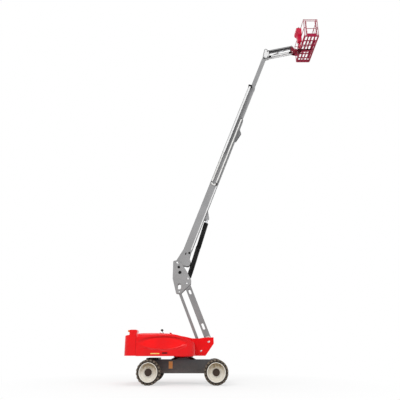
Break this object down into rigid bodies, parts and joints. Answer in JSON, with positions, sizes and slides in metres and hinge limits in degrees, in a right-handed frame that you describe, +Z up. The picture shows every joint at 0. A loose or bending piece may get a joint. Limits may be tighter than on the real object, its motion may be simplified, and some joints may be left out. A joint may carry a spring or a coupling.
{
  "type": "articulated telescopic boom lift",
  "caption": "Self-propelled boom lift: wheeled chassis, slewing turntable with hoods, folding riser, telescopic boom, jib and railed work platform.",
  "frame": {"origin": "on the ground under the slewing axis, midway between the axles", "axes": "+Z up, +X the way the boom reaches, -Y the side that carries the cable carrier"},
  "size_m": [9.8911, 2.4964, 18.8297],
  "materials": {
    "black_paint": "satin",
    "brown_black_paint": "satin",
    "cast_iron": "matte",
    "chromed_rod": "polished",
    "cream_paint": "satin",
    "crimson_paint": "satin",
    "dark_grey_paint": "satin",
    "light_grey_paint": "satin",
    "mid_grey_paint": "satin",
    "pale_nylon": "satin",
    "red_paint": "gloss",
    "tyre_rubber": "matte",
    "white_paint": "satin"
  },
  "bodies": {
    "chassis": {"chassis_frame": "dark_grey_paint", "axle_steering": "black_paint", "axle_fixed": "dark_grey_paint"},
    "tie_rod": {"steering_tie_rod": "chromed_rod"},
    "knuckle_left": {"knuckle_left": "black_paint"},
    "knuckle_right": {"knuckle_right": "black_paint"},
    "wheel_front_left": {"tyre_front_left": "tyre_rubber", "rim_front_left": "cream_paint", "hub_front_left": "brown_black_paint"},
    "wheel_front_right": {"tyre_front_right": "tyre_rubber", "rim_front_right": "cream_paint", "hub_front_right": "brown_black_paint"},
    "wheel_rear_left": {"tyre_rear_left": "tyre_rubber", "rim_rear_left": "cream_paint", "hub_rear_left": "brown_black_paint"},
    "wheel_rear_right": {"tyre_rear_right": "tyre_rubber", "rim_rear_right": "cream_paint", "hub_rear_right": "brown_black_paint"},
    "turntable": {"turntable_frame": "red_paint", "counterweight": "red_paint", "engine_block": "cast_iron", "hydraulic_tank": "black_paint"},
    "hood_left": {"hood_left": "red_paint"},
    "hood_right": {"hood_right": "red_paint"},
    "riser": {"riser_arm": "mid_grey_paint"},
    "lower_link": {"riser_link": "mid_grey_paint"},
    "riser_barrel": {"riser_cylinder": "black_paint"},
    "riser_ram": {"riser_rod": "chromed_rod"},
    "tower": {"upper_tower": "light_grey_paint"},
    "boom_1": {"boom_section_1": "light_grey_paint", "cable_chain": "pale_nylon"},
    "boom_2": {"boom_section_2": "light_grey_paint", "cable_carrier": "white_paint"},
    "boom_3": {"boom_section_3": "light_grey_paint"},
    "lift_barrel": {"boom_cylinder": "mid_grey_paint"},
    "lift_ram": {"boom_rod": "chromed_rod"},
    "head": {"boom_head_bracket": "white_paint"},
    "jib": {"jib_arm": "black_paint"},
    "jib_parallel": {"jib_link": "white_paint"},
    "jib_barrel": {"jib_cylinder": "black_paint"},
    "jib_ram": {"jib_rod": "chromed_rod"},
    "mast": {"platform_mast": "crimson_paint"},
    "platform": {"platform_support": "crimson_paint", "platform_floor": "crimson_paint", "lanyard_anchors": "crimson_paint", "rails_inboard": "crimson_paint", "rails_outboard": "crimson_paint", "rails_left": "crimson_paint", "rails_gate_side": "crimson_paint", "control_console": "red_paint"},
    "gate": {"platform_gate": "crimson_paint"}
  },
  "joints": [
    {"name": "wheel_front_left_spin", "type": "hinge", "parent": "chassis", "child": "wheel_front_left", "pos_m": [1.41, 1.0625, 0.508], "axis": [0, 1, 0], "continuous": true},
    {"name": "wheel_front_right_spin", "type": "hinge", "parent": "chassis", "child": "wheel_front_right", "pos_m": [1.41, -1.0625, 0.508], "axis": [0, 1, 0], "continuous": true},
    {"name": "wheel_rear_left_spin", "type": "hinge", "parent": "knuckle_left", "child": "wheel_rear_left", "pos_m": [-1.41, 1.0625, 0.508], "axis": [0, 1, 0], "continuous": true},
    {"name": "wheel_rear_right_spin", "type": "hinge", "parent": "knuckle_right", "child": "wheel_rear_right", "pos_m": [-1.41, -1.0625, 0.508], "axis": [0, 1, 0], "continuous": true},
    {"name": "steer_left", "type": "hinge", "parent": "chassis", "child": "knuckle_left", "pos_m": [-1.41, 0.8, 0.508], "axis": [0, 0, 1], "range_deg": [-35, 35]},
    {"name": "steer_right", "type": "hinge", "parent": "chassis", "child": "knuckle_right", "pos_m": [-1.41, -0.8, 0.508], "axis": [0, 0, 1], "range_deg": [-35, 35]},
    {"name": "tie_rod_slide", "type": "slide", "parent": "chassis", "child": "tie_rod", "axis": [0, 1, 0], "range_m": [-0.118, 0.118]},
    {"name": "slew", "type": "hinge", "parent": "chassis", "child": "turntable", "pos_m": [0, 0, 1.1], "axis": [0, 0, 1], "continuous": true},
    {"name": "hood_left_lift", "type": "hinge", "parent": "turntable", "child": "hood_left", "pos_m": [-0.72, 0.275, 2.098], "axis": [1, 0, 0], "range_deg": [0, 60]},
    {"name": "hood_right_lift", "type": "hinge", "parent": "turntable", "child": "hood_right", "pos_m": [-0.72, -0.275, 2.098], "axis": [-1, 0, 0], "range_deg": [0, 60]},
    {"name": "riser_lift", "type": "hinge", "parent": "turntable", "child": "riser", "pos_m": [1.144, 0, 1.734], "axis": [0, 1, 0], "range_deg": [-68.3, 5]},
    {"name": "lower_link_lift", "type": "hinge", "parent": "turntable", "child": "lower_link", "pos_m": [0.806, 0, 1.352], "axis": [0, 1, 0], "range_deg": [-68.3, 5]},
    {"name": "tower_level", "type": "hinge", "parent": "riser", "child": "tower", "pos_m": [0.12683, 0, 4.29004], "axis": [0, 1, 0], "range_deg": [-5, 68.3]},
    {"name": "riser_cylinder_tilt", "type": "hinge", "parent": "turntable", "child": "riser_barrel", "pos_m": [0.12, 0, 1.275], "axis": [0, 1, 0], "range_deg": [-3, 3]},
    {"name": "riser_cylinder_extend", "type": "slide", "parent": "riser_barrel", "child": "riser_ram", "axis": [0.8128, 0, 0.5825], "range_m": [-0.29715, 0.02361]},
    {"name": "boom_lift", "type": "hinge", "parent": "tower", "child": "boom_1", "pos_m": [-0.34117, 0, 5.27404], "axis": [0, -1, 0], "range_deg": [-69.2, 5.8]},
    {"name": "boom_cylinder_tilt", "type": "hinge", "parent": "tower", "child": "lift_barrel", "pos_m": [0.18083, 0, 4.50604], "axis": [0, -1, 0], "range_deg": [-66.39, 5.84]},
    {"name": "boom_cylinder_extend", "type": "slide", "parent": "lift_barrel", "child": "lift_ram", "axis": [0.2928, 0, 0.9562], "range_m": [-1.01628, 0.08701]},
    {"name": "telescope", "type": "slide", "parent": "boom_1", "child": "boom_2", "axis": [0.3551, 0, 0.9348], "range_m": [-2, 3.8], "deforming": ["cable_chain"]},
    {"name": "telescope_inner", "type": "slide", "parent": "boom_2", "child": "boom_3", "axis": [0.3551, 0, 0.9348], "range_m": [-2, 3.8]},
    {"name": "boom_head_level", "type": "hinge", "parent": "boom_3", "child": "head", "pos_m": [4.40071, 0, 17.0475], "axis": [0, -1, 0], "range_deg": [-5.8, 69.2]},
    {"name": "jib_lift", "type": "hinge", "parent": "head", "child": "jib", "pos_m": [4.59971, 0, 17.4795], "axis": [0, -1, 0], "range_deg": [-48, 44]},
    {"name": "jib_link_lift", "type": "hinge", "parent": "head", "child": "jib_parallel", "pos_m": [4.59971, 0, 17.10949], "axis": [0, -1, 0], "range_deg": [-48, 44]},
    {"name": "jib_cylinder_tilt", "type": "hinge", "parent": "head", "child": "jib_barrel", "pos_m": [4.59971, 0, 17.10949], "axis": [0, -1, 0], "range_deg": [-40.75, 37.38]},
    {"name": "jib_cylinder_extend", "type": "slide", "parent": "jib_barrel", "child": "jib_ram", "axis": [0.8769, 0, 0.4806], "range_m": [-0.26874, 0.24651]},
    {"name": "platform_level", "type": "hinge", "parent": "jib", "child": "mast", "pos_m": [6.00109, 0, 17.81077], "axis": [0, -1, 0], "range_deg": [-44, 48]},
    {"name": "platform_rotate", "type": "hinge", "parent": "mast", "child": "platform", "pos_m": [6.25109, 0, 17.47577], "axis": [0, 0, -1], "range_deg": [-90, 90]},
    {"name": "gate_swing", "type": "hinge", "parent": "platform", "child": "gate", "pos_m": [6.65109, -1.11, 18.21077], "axis": [0, 0, 1], "range_deg": [0, 90]}
  ],
  "couplings": [
    {"joint": "steer_right", "follows": "steer_left", "ratio": 1},
    {"joint": "tie_rod_slide", "follows": "steer_left", "m_per_rad": 0.19},
    {"joint": "lower_link_lift", "follows": "riser_lift", "ratio": 1},
    {"joint": "tower_level", "follows": "riser_lift", "ratio": -1},
    {"joint": "riser_cylinder_tilt", "follows": "riser_lift", "ratio": 0.0142},
    {"joint": "riser_cylinder_extend", "follows": "riser_lift", "m_per_rad": 0.2476},
    {"joint": "boom_cylinder_tilt", "follows": "boom_lift", "ratio": 0.955},
    {"joint": "boom_cylinder_extend", "follows": "boom_lift", "m_per_rad": 0.8398},
    {"joint": "boom_head_level", "follows": "boom_lift", "ratio": -1},
    {"joint": "telescope_inner", "follows": "telescope", "ratio": 1},
    {"joint": "jib_link_lift", "follows": "jib_lift", "ratio": 1},
    {"joint": "jib_cylinder_tilt", "follows": "jib_lift", "ratio": 0.8427},
    {"joint": "jib_cylinder_extend", "follows": "jib_lift", "m_per_rad": 0.3184},
    {"joint": "platform_level", "follows": "jib_lift", "ratio": -1}
  ]
}
